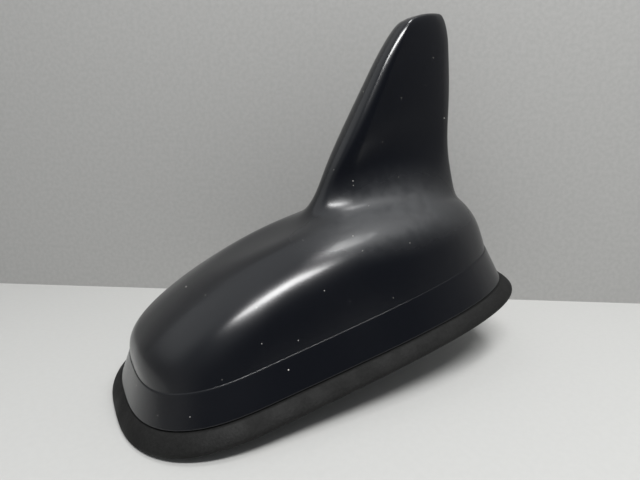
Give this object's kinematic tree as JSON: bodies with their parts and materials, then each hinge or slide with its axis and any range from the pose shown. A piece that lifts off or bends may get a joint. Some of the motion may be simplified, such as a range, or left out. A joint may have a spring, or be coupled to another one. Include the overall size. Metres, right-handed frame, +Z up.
{
  "type": "car roof antenna",
  "caption": "Shark-fin car roof antenna: hollow gloss housing on a flared rubber gasket, with a die-cast base, a fixing stem and satellite and phone aerials inside.",
  "frame": {"origin": "on the fixing stem's axis, in the roof plane under the gasket", "axes": "+X to the rear of the car, +Y to its right side, +Z up away from the roof; the fixing stem points down along -Z"},
  "size_m": [0.1201, 0.063, 0.0946],
  "materials": {
    "housing_gloss": "glossy black, lightly scuffed",
    "gasket_rubber": "matte",
    "zinc": "die-cast",
    "seal_rubber": "matte",
    "screw_steel": "plated",
    "board_green": "lacquered glass-fibre board",
    "spring_steel": "rolled",
    "tape": "foam tape",
    "ceramic": "fired",
    "silver": "silvered",
    "copper": "copper foil",
    "chip_black": "moulded"
  },
  "bodies": {
    "root": {"housing": "housing_gloss", "base_gasket": "gasket_rubber", "base_plate": "zinc", "rim_seal": "seal_rubber", "stem_seal": "seal_rubber", "cable_grommet": "seal_rubber", "cover_screws": "screw_steel", "board_screws": "screw_steel", "main_board": "board_green", "ground_springs": "spring_steel", "patch_pad": "tape", "patch_ceramic": "ceramic", "patch_electrode": "silver", "patch_feed_pin": "silver", "shield_frame": "spring_steel", "shield_lid": "spring_steel", "amplifier_chips": "chip_black", "filter_blocks": "ceramic", "lead_terminals": "silver", "fin_board": "board_green", "fin_radiator": "copper", "fin_brackets": "spring_steel"}
  },
  "joints": []
}
